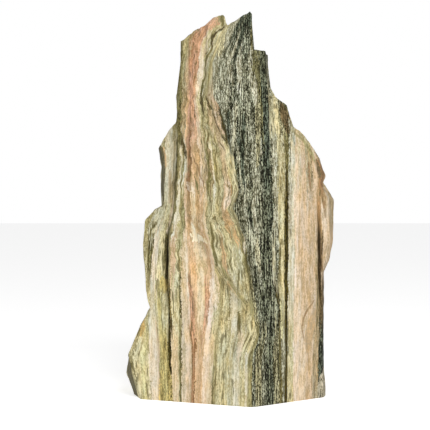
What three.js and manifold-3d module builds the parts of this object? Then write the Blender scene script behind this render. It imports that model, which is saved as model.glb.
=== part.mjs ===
// Banded marble fountain stone: one upright block, sawn flat below, broken elsewhere, drilled through.
// Millimetres, +Z up, front towards -Y.
import * as THREE from "three";
import { mergeVertices } from "three/addons/utils/BufferGeometryUtils.js";
import Module from "manifold-3d";

// Driving dimensions
const height = 792;
const boreDiameter = 30;
const boreSides = 24;
const boreX = -8;
const boreY = 22;
const baseFrontDepth = 140;
const baseBackDepth = 150;
const backTopHeight = 712;
const levelRowsEnd = 695;
const frontLeanEnd = 742;
const rowGap = 16;
const lineGap = 1.5;
const topFrontY = -60;
const topFallDepth = 90;

// Value of a line through [height, value] points, level beyond its ends
function along(points, at) {
  if (at <= points[0][0]) return points[0][1];
  for (let i = 1; i < points.length; i++) {
    const [low, lowValue] = points[i - 1];
    const [high, highValue] = points[i];
    if (at <= high) return lowValue + ((highValue - lowValue) * (at - low)) / (high - low);
  }
  return points[points.length - 1][1];
}

// 0 below the start, 1 past the end, smooth between them
function ramp(start, end, value) {
  const share = Math.min(1, Math.max(0, (value - start) / (end - start)));
  return share * share * (3 - 2 * share);
}

// Outline of the front, as [height, across] corners from the ground up
const leftOutline = [
  [0, -200], [45, -216], [90, -210], [150, -185], [188, -163], [225, -172], [320, -177], [370, -174],
  [390, -156], [398, -141], [480, -142], [520, -148], [528, -141], [551, -126], [567, -111],
  [580, -107], [620, -109], [700, -100], [738, -95],
];
const rightOutline = [
  [0, 203], [80, 198], [262, 196], [285, 208], [330, 217], [412, 217], [446, 195], [460, 200],
  [495, 188], [530, 165], [552, 146], [560, 132], [605, 119], [622, 96], [642, 86], [690, 77],
  [742, 70],
];

// Seams that run up the front face, left to right
const leftCrevice = [[0, -120], [240, -127], [330, -125], [400, -113], [580, -107], [740, -94]];
const ledge = [[0, -24], [160, -8], [200, 28], [245, -4], [295, -40], [335, -48], [380, -84], [740, -78]];
const lobeEdge = [
  [0, 38], [215, 42], [290, 36], [365, 16], [395, 3], [432, 17], [512, 0], [577, -12],
  [618, -51], [695, -47], [770, -8],
];
const spikeEdge = [[0, 67], [350, 52], [714, 45]];
const flank = [[0, 88], [350, 81], [640, 80], [716, 71]];
const blackStripe = [[0, 119], [600, 119]];
const rightCrevice = [[0, 178], [280, 184], [450, 181]];

// Step of each seam: how far its left side stands in front of its right side
const creviceStep = [[0, 0], [320, 6], [395, 30], [520, 32], [585, 8], [740, 3]];
const ledgeStep = [[195, 0], [215, 14], [300, 20], [360, 16], [385, 3], [740, 0]];
const lobeSwell = [[205, 0], [260, 10], [350, 16], [450, 12], [560, 4], [630, 0]];
const lobeStep = [[195, 0], [240, 8], [380, 16], [575, 13], [600, 4], [630, -7], [760, -11]];
const flankStep = [[0, 0], [250, 2], [420, 7], [560, 18], [640, 34], [700, 28]];

// Depth of the groove cut along a seam
const leftGroove = [[180, 3], [250, 20], [330, 16], [380, 8], [520, 10], [560, 3]];
const rightGroove = [[130, 2], [200, 4], [285, 11], [410, 10], [450, 3]];

// Ragged top edge over the front, as [across, height]
const topEdge = [
  [-95, 736], [-80, 750], [-69, 757], [-50, 766], [-33, 782], [-15, 786], [-10, 784], [-6, 767],
  [-2, 767], [20, 780], [41, height], [45, 788], [47, 716], [72, 713],
];

// The front's vertical corner: where it lies across, how round it is and how far it stands out,
// then how fast the face recedes to each side of it, and how far the back lies behind
const frontCorner = [[0, 44], [200, 50], [400, 62], [600, 60], [height, 30]];
const cornerRounding = [[0, 6], [150, 20], [400, 40]];
const frontDepth = [[0, baseFrontDepth], [350, 126], [600, 96], [height, 60]];
const leftFall = [[0, 0.42], [200, 0.32], [350, 0.22], [600, 0.16], [height, 0.1]];
const rightFall = [[0, 0.78], [200, 0.55], [500, 0.45], [700, 0.3]];
const backDepth = [[0, baseBackDepth], [400, 125], [700, 78]];

// Width of the dark facets that turn away at the left foot and on the right shoulder
const leftFacet = [[0, 18], [45, 20], [92, 1], [395, 1], [405, 7], [510, 8], [530, 1]];
const rightFacet = [[0, 6], [250, 6], [290, 9], [350, 12], [412, 18], [440, 12], [480, 6], [530, 2]];

// Repeatable value between -1 and 1 for a pair of whole numbers
function scatter(a, b) {
  const mixed = Math.sin(a * 12.9898 + b * 78.233) * 43758.5453;
  return 2 * (mixed - Math.floor(mixed)) - 1;
}

// Rolling field between -1 and 1: scattered values at whole numbers, blended smoothly between them
function rolling(a, b) {
  const [column, row] = [Math.floor(a), Math.floor(b)];
  const across = ramp(0, 1, a - column);
  const up = ramp(0, 1, b - row);
  const low = scatter(column, row) * (1 - across) + scatter(column + 1, row) * across;
  const high = scatter(column, row + 1) * (1 - across) + scatter(column + 1, row + 1) * across;
  return low * (1 - up) + high * up;
}

// Broken surface: long upright flutes with shorter ones on them
function fluting(across, up) {
  return 2.6 * rolling(across / 23 + 40, up / 95) + 1.3 * rolling(across / 9 + 80, up / 34);
}

// Distance of the front face before the centre line at a place on it
function frontFace(across, up) {
  const fromCorner = across - along(frontCorner, up);
  const fall = along(fromCorner < 0 ? leftFall : rightFall, up);
  const rounding = along(cornerRounding, up);
  let depth = along(frontDepth, up) - fall * (Math.hypot(fromCorner, rounding) - rounding);
  const beyond = (line) => ramp(-2, 2, across - along(line, up));
  const inLobe = beyond(ledge) * (1 - beyond(lobeEdge));
  const share = (across - along(ledge, up)) / (along(lobeEdge, up) - along(ledge, up));
  depth -= along(creviceStep, up) * (1 - beyond(leftCrevice));
  depth += along(ledgeStep, up) * inLobe;
  depth += along(lobeSwell, up) * Math.sin(Math.PI * Math.min(1, Math.max(0, share)));
  depth += along(lobeStep, up) * (0.5 - beyond(lobeEdge)) * beyond(ledge) * (1 - beyond(flank));
  depth -= along(flankStep, up) * beyond(flank);
  const groove = (line) => Math.max(0, 1 - Math.abs(across - along(line, up)) / 5);
  depth -= along(leftGroove, up) * groove(leftCrevice);
  depth -= along(rightGroove, up) * groove(rightCrevice);
  return depth + fluting(across, up) * ramp(0, 30, up);
}

// Seams that the columns follow, each with the offset of its two lips, and columns in each stretch
const followed = [
  [leftCrevice, -4], [leftCrevice, 0], [leftCrevice, 4], [ledge, -2.5], [ledge, 2.5], [lobeEdge, -2.5],
  [lobeEdge, 2.5], [spikeEdge, -1.5], [spikeEdge, 1.5], [flank, -2.5], [flank, 2.5], [blackStripe, 0],
  [rightCrevice, -4], [rightCrevice, 0], [rightCrevice, 4],
];
const columnsBetween = [4, 1, 1, 6, 1, 8, 1, 4, 1, 4, 1, 5, 4, 1, 1, 2];

// Across positions of every front column at one height, kept in order and apart
function frontColumns(up) {
  const left = along(leftOutline, up) + along(leftFacet, up);
  const right = along(rightOutline, up) - along(rightFacet, up);
  const count = followed.length;
  const stops = followed.map(([line, offset], i) => {
    const wanted = along(line, up) + offset;
    const room = 5 * lineGap;
    return Math.min(right - (count - i) * room, Math.max(left + (i + 1) * room, wanted));
  });
  for (let i = 1; i < count; i++) stops[i] = Math.max(stops[i], stops[i - 1] + lineGap);
  const marks = [left, ...stops, right];
  const columns = [];
  columnsBetween.forEach((steps, i) => {
    for (let k = 0; k < steps; k++) columns.push(marks[i] + ((marks[i + 1] - marks[i]) * k) / steps);
  });
  columns.push(right);
  return columns;
}

const facetSteps = 2;
const sideSteps = 4;
const backSteps = 7;
const sideRelief = 9;
const backRelief = 10;

// The rear corners, as shares of the outline's half width and of the back's depth
const rearRightShare = [0.93, 0.62];
const rearLeftShare = [0.92, 0.72];
const backRidgeShare = 0.25;

// Points of one closed section at a height: front left to right, right side, back, left side
function section(up) {
  const points = frontColumns(up).map((across) => [across, -frontFace(across, up)]);
  const [leftX, leftY] = points[0];
  const [rightX, rightY] = points[points.length - 1];
  const back = along(backDepth, up);
  const outerRight = [along(rightOutline, up), Math.min(0, rightY + 40)];
  const outerLeft = [along(leftOutline, up), Math.min(20, leftY + 60)];
  const rearRight = [outerRight[0] * rearRightShare[0], back * rearRightShare[1]];
  const rearLeft = [outerLeft[0] * rearLeftShare[0], back * rearLeftShare[1]];
  const middle = [outerRight[0] * backRidgeShare, back];
  const broken = ramp(0, 30, up);
  const run = (from, to, steps, reachX, reachY) => {
    for (let k = 1; k <= steps; k++) {
      const share = k / steps;
      const x = from[0] + (to[0] - from[0]) * share;
      const y = from[1] + (to[1] - from[1]) * share;
      const lumps = rolling(x / 47 + y / 60, up / 120) + 0.5 * rolling(x / 19 + y / 25, up / 44);
      const relief = broken * lumps;
      points.push([x + reachX * relief * Math.sin(Math.PI * share), y + reachY * relief]);
    }
  };
  run([rightX, rightY], outerRight, facetSteps, 0, 0);
  run(outerRight, rearRight, sideSteps, -sideRelief, 0);
  run(rearRight, middle, backSteps, 0, backRelief);
  run(middle, rearLeft, backSteps, 0, backRelief);
  run(rearLeft, outerLeft, sideSteps, sideRelief, 0);
  run(outerLeft, [leftX, leftY], facetSteps, 0, 0);
  points.pop();
  return points;
}

// Heights of the level rows: through each corner height, with no gap over rowGap
function levelRows() {
  const corners = [
    0, 45, 90, 150, 188, 200, 225, 262, 285, 330, 370, 390, 398, 412, 446, 460, 495, 520, 555, 580,
    605, 622, 642, levelRowsEnd,
  ];
  const rows = [0];
  for (let i = 1; i < corners.length; i++) {
    const gap = corners[i] - corners[i - 1];
    const steps = Math.ceil(gap / rowGap);
    for (let k = 1; k <= steps; k++) rows.push(corners[i - 1] + (gap * k) / steps);
  }
  return rows;
}

const frontCount = columnsBetween.reduce((sum, steps) => sum + steps, 1);
const rimRows = 6;
const capRows = 6;

// Height of the broken top over a point: the ragged front edge falls to a rough level behind it
function topSurface(across, back) {
  const behind = ramp(topFrontY + 5, topFrontY + 5 + topFallDepth, back);
  const rough = 4 * behind * rolling(across / 17 + 9, back / 26);
  return along(topEdge, across) * (1 - behind) + backTopHeight * behind + rough;
}

// Rows of the whole wall, each a closed ring of points
function wallRings() {
  const rings = levelRows().map((up) => section(up).map(([x, y]) => [x, y, up]));
  const last = section(levelRowsEnd);
  for (let k = 1; k <= rimRows; k++) {
    const share = k / rimRows;
    rings.push(last.map(([x, lastY], index) => {
      const back = index < frontCount ? topFrontY : Math.max(topFrontY, lastY);
      const up = levelRowsEnd + (topSurface(x, back) - levelRowsEnd) * share;
      const [, y] = section(Math.min(up, frontLeanEnd))[index];
      return [x, y, up];
    }));
  }
  return rings;
}

// Closed surface: base centre, rings from the ground to the rim, rings over the top, top centre
function stoneGeometry() {
  const rings = wallRings();
  const rim = rings[rings.length - 1];
  const topCentre = [boreX, boreY, topSurface(boreX, boreY)];
  for (let k = 1; k <= capRows; k++) {
    const share = k / (capRows + 1);
    rings.push(rim.map(([x, y]) => {
      const inX = x + (boreX - x) * share;
      const inY = y + (boreY - y) * share;
      return [inX, inY, topSurface(inX, inY)];
    }));
  }
  const around = rim.length;
  const positions = [boreX, boreY, 0, ...topCentre, ...rings.flat(2)];
  const at = (ring, index) => 2 + ring * around + (index % around);
  const faces = [];
  for (let i = 0; i < around; i++) {
    faces.push(0, at(0, i + 1), at(0, i));
    faces.push(1, at(rings.length - 1, i), at(rings.length - 1, i + 1));
    for (let ring = 0; ring + 1 < rings.length; ring++) {
      faces.push(at(ring, i), at(ring, i + 1), at(ring + 1, i + 1));
      faces.push(at(ring, i), at(ring + 1, i + 1), at(ring + 1, i));
    }
  }
  const geometry = new THREE.BufferGeometry();
  geometry.setAttribute("position", new THREE.Float32BufferAttribute(positions, 3));
  geometry.setIndex(faces);
  return geometry;
}

const wasm = await Module();
wasm.setup();

function solidOf(geometry) {
  geometry.deleteAttribute("normal");
  geometry.deleteAttribute("uv");
  const merged = mergeVertices(geometry, 1e-3);
  return new wasm.Manifold(new wasm.Mesh({
    numProp: 3,
    vertProperties: new Float32Array(merged.attributes.position.array),
    triVerts: new Uint32Array(merged.index.array),
  }));
}

// Upright drill through the whole stone, past both ends
function boreGeometry() {
  const drill = new THREE.CylinderGeometry(boreDiameter / 2, boreDiameter / 2, 2 * height, boreSides);
  drill.rotateX(Math.PI / 2);
  drill.translate(boreX, boreY, height / 2);
  return drill;
}

function drilledStone() {
  const cut = solidOf(stoneGeometry()).subtract(solidOf(boreGeometry())).getMesh();
  const geometry = new THREE.BufferGeometry();
  geometry.setAttribute("position", new THREE.BufferAttribute(cut.vertProperties, 3));
  geometry.setIndex(new THREE.BufferAttribute(cut.triVerts, 1));
  geometry.computeBoundingBox();
  const box = geometry.boundingBox;
  geometry.translate(-(box.min.x + box.max.x) / 2, -(box.min.y + box.max.y) / 2, -box.min.z);
  geometry.computeVertexNormals();
  return geometry;
}

const marble = new THREE.MeshStandardMaterial({ color: 0xc9bd98, roughness: 0.75, metalness: 0 });
const stone = new THREE.Mesh(drilledStone(), marble);
stone.name = "stone";

const fountainStone = new THREE.Group();
fountainStone.add(stone);

export default fountainStone;
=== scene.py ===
import math

import bpy
import numpy as np
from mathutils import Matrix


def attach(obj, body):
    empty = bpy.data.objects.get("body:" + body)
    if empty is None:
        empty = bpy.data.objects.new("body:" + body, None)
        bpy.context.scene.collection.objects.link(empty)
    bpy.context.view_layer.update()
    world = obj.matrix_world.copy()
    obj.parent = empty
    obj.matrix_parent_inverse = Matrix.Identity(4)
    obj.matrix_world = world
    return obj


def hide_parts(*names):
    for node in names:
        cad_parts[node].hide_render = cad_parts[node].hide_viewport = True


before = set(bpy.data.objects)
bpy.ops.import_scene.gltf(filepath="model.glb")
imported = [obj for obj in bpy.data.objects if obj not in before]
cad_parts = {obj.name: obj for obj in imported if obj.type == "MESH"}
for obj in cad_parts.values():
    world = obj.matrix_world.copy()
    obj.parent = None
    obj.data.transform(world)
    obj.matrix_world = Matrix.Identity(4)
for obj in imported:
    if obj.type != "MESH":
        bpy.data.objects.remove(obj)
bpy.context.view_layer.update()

# Driving dimensions of the stone, in millimetres, as in its solid
HEIGHT = 792.0
BORE_RADIUS = 15.0
BORE_X, BORE_Y = -8.0, 22.0
BASE_FRONT_DEPTH = 140.0
BASE_BACK_DEPTH = 150.0
BACK_TOP_HEIGHT = 712.0
LEVEL_ROWS_END = 695.0
FRONT_LEAN_END = 742.0
TOP_FRONT_Y = -60.0
TOP_FALL_DEPTH = 90.0
TOP_SHELF = 5.0

# The solid's box is centred on the origin, which moves the stone by this much
CENTRING = np.array([-0.5, 4.12, 0.0])
MM = 0.001

# Outline of the front from the ground up, as height: across
LEFT_OUTLINE = {
    0: -200, 45: -216, 90: -210, 150: -185, 188: -163, 225: -172, 320: -177, 370: -174, 390: -156,
    398: -141, 480: -142, 520: -148, 528: -141, 551: -126, 567: -111, 580: -107, 620: -109, 700: -100,
    738: -95,
}
RIGHT_OUTLINE = {
    0: 203, 80: 198, 262: 196, 285: 208, 330: 217, 412: 217, 446: 195, 460: 200, 495: 188, 530: 165,
    552: 146, 560: 132, 605: 119, 622: 96, 642: 86, 690: 77, 742: 70,
}

# Seams that run up the front face, as height: across
LEFT_CREVICE = {0: -120, 240: -127, 330: -125, 400: -113, 580: -107, 740: -94}
LEDGE = {0: -24, 160: -8, 200: 28, 245: -4, 295: -40, 335: -48, 380: -84, 740: -78}
LOBE_EDGE = {
    0: 38, 215: 42, 290: 36, 365: 16, 395: 3, 432: 17, 512: 0, 577: -12, 618: -51, 695: -47, 770: -8,
}
SPIKE_EDGE = {0: 67, 350: 52, 714: 45}
FLANK = {0: 88, 350: 81, 640: 80, 716: 71}
BLACK_STRIPE = {0: 119, 600: 119}
RIGHT_CREVICE = {0: 178, 280: 184, 450: 181}

# Step of each seam, as height: how far its left side stands in front of its right side; and how
# far to each side the steps spread
CREVICE_STEP = {0: 0, 320: 6, 395: 30, 520: 32, 585: 8, 740: 3}
LEDGE_STEP = {195: 0, 215: 14, 300: 20, 360: 16, 385: 3, 740: 0}
LOBE_SWELL = {205: 0, 260: 10, 350: 16, 450: 12, 560: 4, 630: 0}
LOBE_STEP = {195: 0, 240: 8, 380: 16, 575: 13, 600: 4, 630: -7, 760: -11}
FLANK_STEP = {0: 0, 250: 2, 420: 7, 560: 18, 640: 34, 700: 28}
SEAM_REACH, LEDGE_REACH = 2, 8

# Depth of the grooves along the two crevices, as height: depth, and their half width
LEFT_GROOVE = {180: 3, 250: 20, 330: 16, 380: 8, 520: 10, 560: 3}
RIGHT_GROOVE = {130: 2, 200: 4, 285: 11, 410: 10, 450: 3}
GROOVE_WIDTH = 5

# Ragged top edge over the front, as across: height
TOP_EDGE = {
    -95: 736, -80: 750, -69: 757, -50: 766, -33: 782, -15: 786, -10: 784, -6: 767, -2: 767, 20: 780,
    41: HEIGHT, 45: 788, 47: 716, 72: 713,
}

# The front's vertical corner and its rounding, the fall of the face to each side, and the back
FRONT_CORNER = {0: 44, 200: 50, 400: 62, 600: 60, HEIGHT: 30}
CORNER_ROUNDING = {0: 6, 150: 20, 400: 40}
FRONT_DEPTH = {0: BASE_FRONT_DEPTH, 350: 126, 600: 96, HEIGHT: 60}
LEFT_FALL = {0: 0.42, 200: 0.32, 350: 0.22, 600: 0.16, HEIGHT: 0.1}
RIGHT_FALL = {0: 0.78, 200: 0.55, 500: 0.45, 700: 0.3}
BACK_DEPTH = {0: BASE_BACK_DEPTH, 400: 125, 700: 78}

# The facets between the front and the sides: their widths up the stone, their depths, and how far
# back they may reach
LEFT_FACET = {0: 18, 45: 20, 92: 1, 395: 1, 405: 7, 510: 8, 530: 1}
RIGHT_FACET = {0: 6, 250: 6, 290: 9, 350: 12, 412: 18, 440: 12, 480: 6, 530: 2}
LEFT_FACET_DEPTH, RIGHT_FACET_DEPTH = 60, 40
LEFT_FACET_BACK, RIGHT_FACET_BACK = 20, 0

# The back's corners as shares of the outline's width and of the back's depth, and the lumps on it
REAR_RIGHT_SHARE = (0.93, 0.62)
REAR_LEFT_SHARE = (0.92, 0.72)
BACK_RIDGE_SHARE = 0.25
SIDE_RELIEF = 9.0
BACK_RELIEF = 10.0

# Rolling fields, as (reach, width, length, start): how far a field moves things, the size of its
# waves across and along, and where it starts
FLUTES = [(2.6, 23, 95, 40), (1.3, 9, 34, 80)]
TOP_ROUGHNESS = [(4, 17, 26, 9)]
CRUMPLES = [(0.9, 9, 17, 3), (0.5, 4, 8, 7)]
FOLD_LUMPS = [(1.3, 11, 19, 5), (0.8, 5, 9, 15)]
MARK_LIFTS = [(45, 33, 90, 5), (18, 13, 40, 9)]
MARK_FRAYS = [(30, 21, 50, 3)]
# Lumps, as (share, width, inward width, length)
SIDE_LUMPS = [(1.0, 47, 60, 120), (0.5, 19, 25, 44)]
# Splinters, as (reach, width, start, length, inward length)
SPLINTERS = [(0.9, 6.5, 11, 46, 70), (0.6, 3.1, 31, 17, 30), (0.35, 2.6, 61, 6, 9)]

# Heights over which the flutes and the grain set in above the straight foot
FLUTE_FADE, GRAIN_FADE = 30, 8

# Where the strata are folded, beside the left crevice, beside the lobe's edge and above its toe,
# and how far they are crumpled there and elsewhere
FOLDS_START, FOLDS_END, FOLDS_FOOT = (-10, 12), (-4, 4), (200, 270)
PLAIN_CRUMPLE, FOLDED_CRUMPLE = 0.35, 2.6
LEAST_STRATUM = 2.0

# Depths behind the plain face: how far back the folds and the painted shade of the clefts go, where
# the strata start to slant and by how much, and where the marks are lifted, frayed and faded out
FRONT_ZONE = 60
SLANT_DEPTH, SIDE_SLANT = 40, 0.12
LIFTED_DEPTHS, FRAYED_DEPTHS, MARKED_DEPTHS = (20, 70), (10, 40), (45, 100)
FACE_REACH = 200

# Painted shade in the clefts along the seams, where the grooves fall into shadow, as (seam, height:
# shift across, half width, height: strength)
CLEFT_SHADES = [
    (LEFT_CREVICE, {300: 0, 385: 1.5, 480: 3}, 2.6,
     {205: 0, 240: 0.7, 260: 1, 315: 1, 335: 0.55, 380: 0.4, 520: 0.6, 555: 0}),
    (RIGHT_CREVICE, {0: 0}, 6,
     {130: 0.14, 200: 0.29, 285: 0.79, 330: 0.76, 345: 0.63, 360: 0.37, 375: 0.11, 390: 0}),
    (LOBE_EDGE, {0: 7}, 4,
     {195: 0, 240: 0.2, 310: 0.3, 578: 0.3, 600: 0.1, 611: 0, 630: 0.18, 760: 0.28}),
]

# Seams that the columns follow, each with the offsets of its lips, the columns in each stretch,
# the least gap between two seams, and the room that each one keeps from the outline
SEAM_LIPS = [
    (LEFT_CREVICE, (-4, 0, 4)), (LEDGE, (-2.5, 2.5)), (LOBE_EDGE, (-2.5, 2.5)),
    (SPIKE_EDGE, (-1.5, 1.5)), (FLANK, (-2.5, 2.5)), (BLACK_STRIPE, (0,)), (RIGHT_CREVICE, (-4, 0, 4)),
]
FOLLOWED = [(line, offset) for line, offsets in SEAM_LIPS for offset in offsets]
COLUMNS_BETWEEN = [36, 3, 3, 46, 3, 50, 3, 22, 2, 22, 4, 24, 36, 3, 3, 14]
LINE_GAP = 1.5
SEAM_ROOM = 5 * LINE_GAP

# Runs of the wall from the front's right end round the back to its left end, as (columns, relief
# to the right, relief to the back)
WALL_RUNS = [
    (8, 0, 0), (20, -SIDE_RELIEF, 0), (34, 0, BACK_RELIEF),
    (34, 0, BACK_RELIEF), (20, SIDE_RELIEF, 0), (8, 0, 0),
]
FRONT_COLUMNS = sum(COLUMNS_BETWEEN) + 1
COLUMNS = FRONT_COLUMNS + sum(columns for columns, _, _ in WALL_RUNS) - 1
# Rows of the grid up the wall, up the rim, in over the top, down the bore and out over the base
LEVEL_ROWS, RIM_ROWS, CAP_ROWS, BORE_ROWS, FOOT_ROWS = 186, 22, 14, 8, 4

# Colour strata: the place of each one when unfolded, and where it meets the front, as height: across
STRATA = {
    "left rim": (-167, {0: -205, 90: -212, 188: -176, 360: -178, 400: -160, 790: -140}),
    "white": (-137, {0: -149, 110: -151, 211: -156, 287: -154, 345: -146, 400: -133, 480: -124, 580: -113,
        790: -100}),
    "crevice": (-110, {0: -118, 110: -120, 240: -127, 330: -125, 400: -113, 512: -106, 600: -103, 700: -98,
        790: -90}),
    "thin": (-90, {0: -96, 110: -98, 211: -100, 311: -102, 380: -96, 420: -98, 520: -92, 620: -92,
        700: -89, 790: -78}),
    "left salmon": (-68, {0: -68, 118: -64, 160: -71, 225: -74, 300: -79, 380: -79, 435: -84, 485: -80,
        553: -84, 635: -82, 700: -80, 740: -76, 768: -62, 790: -42}),
    "right salmon": (-42, {0: -60, 118: -54, 160: -45, 195: -41, 262: -39, 300: -41, 331: -50, 381: -55,
        435: -51, 485: -55, 553: -61, 615: -68, 655: -65, 700: -61, 740: -54, 768: -36, 790: -25}),
    "olive dash": (-22, {0: -32, 110: -24, 160: -21, 230: -13, 262: -15, 300: -24, 329: -27, 375: -41,
        450: -39, 512: -47, 570: -53, 625: -53, 655: -51, 708: -40, 740: -28, 768: -12}),
    "dark left": (33, {0: 36, 100: 37, 145: 54, 190: 53, 250: 42, 287: 36, 331: 28, 365: 17, 395: 5,
        432: 15, 512: 3, 550: -7, 577: -13, 620: -27, 690: -29, 732: -8, 762: 4, 782: 18}),
    "dark right": (103, {0: 108, 110: 105, 195: 99, 252: 86, 350: 84, 512: 84, 620: 80, 700: 74}),
    "black": (131, {0: 115, 195: 114, 350: 116, 512: 120, 600: 118, 760: 112}),
    "right crevice": (193, {0: 182, 200: 184, 350: 177, 450: 176, 540: 168, 760: 160}),
    "right rim": (228, {0: 206, 262: 200, 330: 222, 450: 222, 760: 220}),
}
UNFOLDED_LEFT = STRATA["left rim"][0]
UNFOLDED_WIDTH = STRATA["right rim"][0] - UNFOLDED_LEFT


def seen(red, green, blue, grain=0.3):
    """A colour as it is seen, 0 to 255 each, turned into the linear values that shaders use, with
    the strength of its dark and light grain."""
    parts = np.array([red, green, blue]) / 255.0
    linear = np.where(parts <= 0.04045, parts / 12.92, ((parts + 0.055) / 1.055) ** 2.4)
    return (*linear.tolist(), grain)


# Colours of the strata
PALE = seen(230, 214, 184, 0.2)
MILK = seen(216, 207, 176, 0.26)
ROSE = seen(234, 213, 184, 0.2)
PINK = seen(214, 196, 161, 0.26)
PEACH = seen(222, 200, 167, 0.26)
WHEAT = seen(209, 184, 149, 0.28)
APRICOT = seen(226, 204, 163, 0.25)
ORANGE = seen(217, 184, 142, 0.26)
HONEY = seen(197, 166, 121, 0.33)
SALMON = seen(204, 161, 126, 0.4)
DEEP_SALMON = seen(190, 148, 114, 0.45)
RUST = seen(162, 124, 86, 0.5)
CREAM = seen(216, 204, 158, 0.36)
YELLOW = seen(212, 203, 150, 0.4)
SAND = seen(203, 192, 147, 0.42)
OLIVE = seen(181, 170, 126, 0.5)
MOSS = seen(186, 173, 116, 0.5)
KHAKI = seen(157, 148, 102, 0.54)
PEAT = seen(106, 98, 58, 0.8)
BLACK = seen(56, 48, 14, 1.1)
REED = seen(190, 183, 146, 0.42)
LICHEN = seen(198, 192, 158, 0.35)
GREY = seen(192, 181, 151, 0.35)
TAN = seen(186, 166, 129, 0.38)
BRAN = seen(168, 148, 108, 0.5)
STRIPE = seen(80, 68, 26, 1.3)
BARK = seen(90, 75, 46, 1.1)
SALTED = seen(172, 168, 140, 0.8)
FRECKLED = seen(155, 151, 123, 0.85)
PALE_PEPPER = seen(127, 125, 99, 1.3)
OLIVE_PEPPER = seen(109, 104, 73, 1.5)
BROWN_PEPPER = seen(80, 76, 46, 1.6)
PEPPER = seen(93, 92, 69, 1.85)
DARK_PEPPER = seen(73, 73, 53, 2.1)
SLATE = seen(56, 57, 39, 2.35)
DEEP_SLATE = seen(45, 48, 33, 2.35)

# Strata across the front at a few heights, as left edge: colour
STRATA_AT = {
    95: {-230: OLIVE, -197: CREAM, -185: YELLOW, -171: SAND, -166: PALE, -147: WHEAT, -143: MOSS,
        -126: BLACK, -119: APRICOT, -105: CREAM, -102: PEAT, -98: PINK, -89: PEACH, -82: WHEAT, -77: RUST,
        -69: ORANGE, -55: ROSE, -43: PINK, -34: OLIVE, -24: SAND, -2: LICHEN, 11: MILK, 20: SAND, 29: MILK,
        35: KHAKI, 44: PEPPER, 51: OLIVE_PEPPER, 63: PEPPER, 72: SLATE, 86: OLIVE_PEPPER, 99: PEAT,
        104: FRECKLED, 117: CREAM, 129: ROSE, 141: PEACH, 156: WHEAT, 172: TAN, 183: DEEP_SLATE},
    205: {-230: SAND, -163: MILK, -153: SAND, -147: MOSS, -138: SAND, -126: STRIPE, -119: CREAM,
        -101: STRIPE, -98: PINK, -89: PEACH, -82: SALMON, -73: ORANGE, -67: APRICOT, -51: SALMON,
        -41: ROSE, -33: SAND, -20: OLIVE, -13: CREAM, -5: OLIVE, 0: MILK, 14: REED, 23: OLIVE, 39: KHAKI,
        46: OLIVE_PEPPER, 52: DARK_PEPPER, 60: SLATE, 80: DARK_PEPPER, 95: BLACK, 101: SAND, 111: STRIPE,
        117: MILK, 128: PEACH, 145: WHEAT, 176: BRAN, 184: BARK},
    300: {-230: OLIVE, -168: PEAT, -157: PALE, -146: CREAM, -138: SAND, -134: PEAT, -127: SAND,
        -121: WHEAT, -109: SAND, -100: PINK, -93: PALE, -86: ORANGE, -69: APRICOT, -50: ORANGE, -40: ROSE,
        -33: SAND, -16: HONEY, -8: SAND, 8: REED, 24: KHAKI, 29: PEAT, 35: PALE_PEPPER, 41: PEPPER,
        51: PALE_PEPPER, 60: SLATE, 81: DARK_PEPPER, 84: LICHEN, 91: PEPPER, 97: PEAT, 101: SAND,
        106: CREAM, 110: BLACK, 118: MILK, 130: ROSE, 139: WHEAT, 173: TAN, 180: BARK, 189: WHEAT,
        208: TAN},
    385: {-230: KHAKI, -156: LICHEN, -130: SAND, -121: PALE, -117: KHAKI, -111: MILK, -102: KHAKI,
        -90: WHEAT, -85: HONEY, -77: APRICOT, -69: HONEY, -62: ORANGE, -56: APRICOT, -48: OLIVE, -37: SAND,
        -25: OLIVE, -16: HONEY, -1: OLIVE, 10: PEPPER, 24: PALE_PEPPER, 35: SLATE, 43: FRECKLED,
        51: PEPPER, 63: SLATE, 87: FRECKLED, 97: OLIVE, 101: SAND, 111: BLACK, 118: GREY, 125: MILK,
        130: ROSE, 139: WHEAT, 177: HONEY, 187: PEACH, 203: TAN},
    480: {-230: KHAKI, -135: MILK, -110: PEAT, -105: OLIVE, -101: MILK, -97: KHAKI, -93: MILK, -87: WHEAT,
        -84: RUST, -77: ORANGE, -69: HONEY, -61: PEACH, -55: TAN, -46: KHAKI, -42: BRAN, -36: MILK,
        -32: KHAKI, -28: OLIVE, -16: TAN, -5: CREAM, 11: SLATE, 16: PALE_PEPPER, 22: DEEP_SLATE,
        28: PEPPER, 43: PALE_PEPPER, 58: DARK_PEPPER, 66: DEEP_SLATE, 81: PEPPER, 87: SALTED, 95: OLIVE,
        111: PEAT, 118: FRECKLED, 124: MILK, 133: PEACH, 138: PINK, 145: WHEAT, 155: GREY, 160: BRAN,
        168: WHEAT, 181: TAN},
    600: {-230: GREY, -113: KHAKI, -104: PEAT, -98: BRAN, -89: ORANGE, -84: SALMON, -71: WHEAT, -65: CREAM,
        -59: KHAKI, -54: OLIVE, -44: TAN, -27: PALE_PEPPER, -2: DARK_PEPPER, 26: PEPPER, 50: SALTED,
        57: BROWN_PEPPER, 65: DEEP_SLATE, 77: REED, 90: CREAM, 99: OLIVE_PEPPER, 110: BROWN_PEPPER,
        122: OLIVE},
    690: {-230: PEAT, -99: KHAKI, -93: OLIVE, -89: TAN, -84: DEEP_SALMON, -64: PALE, -52: OLIVE, -48: MILK,
        -44: REED, -34: FRECKLED, -24: PALE_PEPPER, -7: FRECKLED, 3: DARK_PEPPER, 11: SALTED, 20: PEPPER,
        36: SALTED, 43: BROWN_PEPPER, 60: SLATE},
    750: {-230: OLIVE, -80: BRAN, -71: DEEP_SALMON, -66: SALMON, -49: PEACH, -44: SAND, -36: OLIVE,
        -22: SAND, -7: FRECKLED, 5: DARK_PEPPER, 9: DEEP_SLATE, 16: DARK_PEPPER, 20: DEEP_SLATE,
        38: DARK_PEPPER},
}
# Most stops that one colour ramp holds
MOST_STOPS = 30
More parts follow.
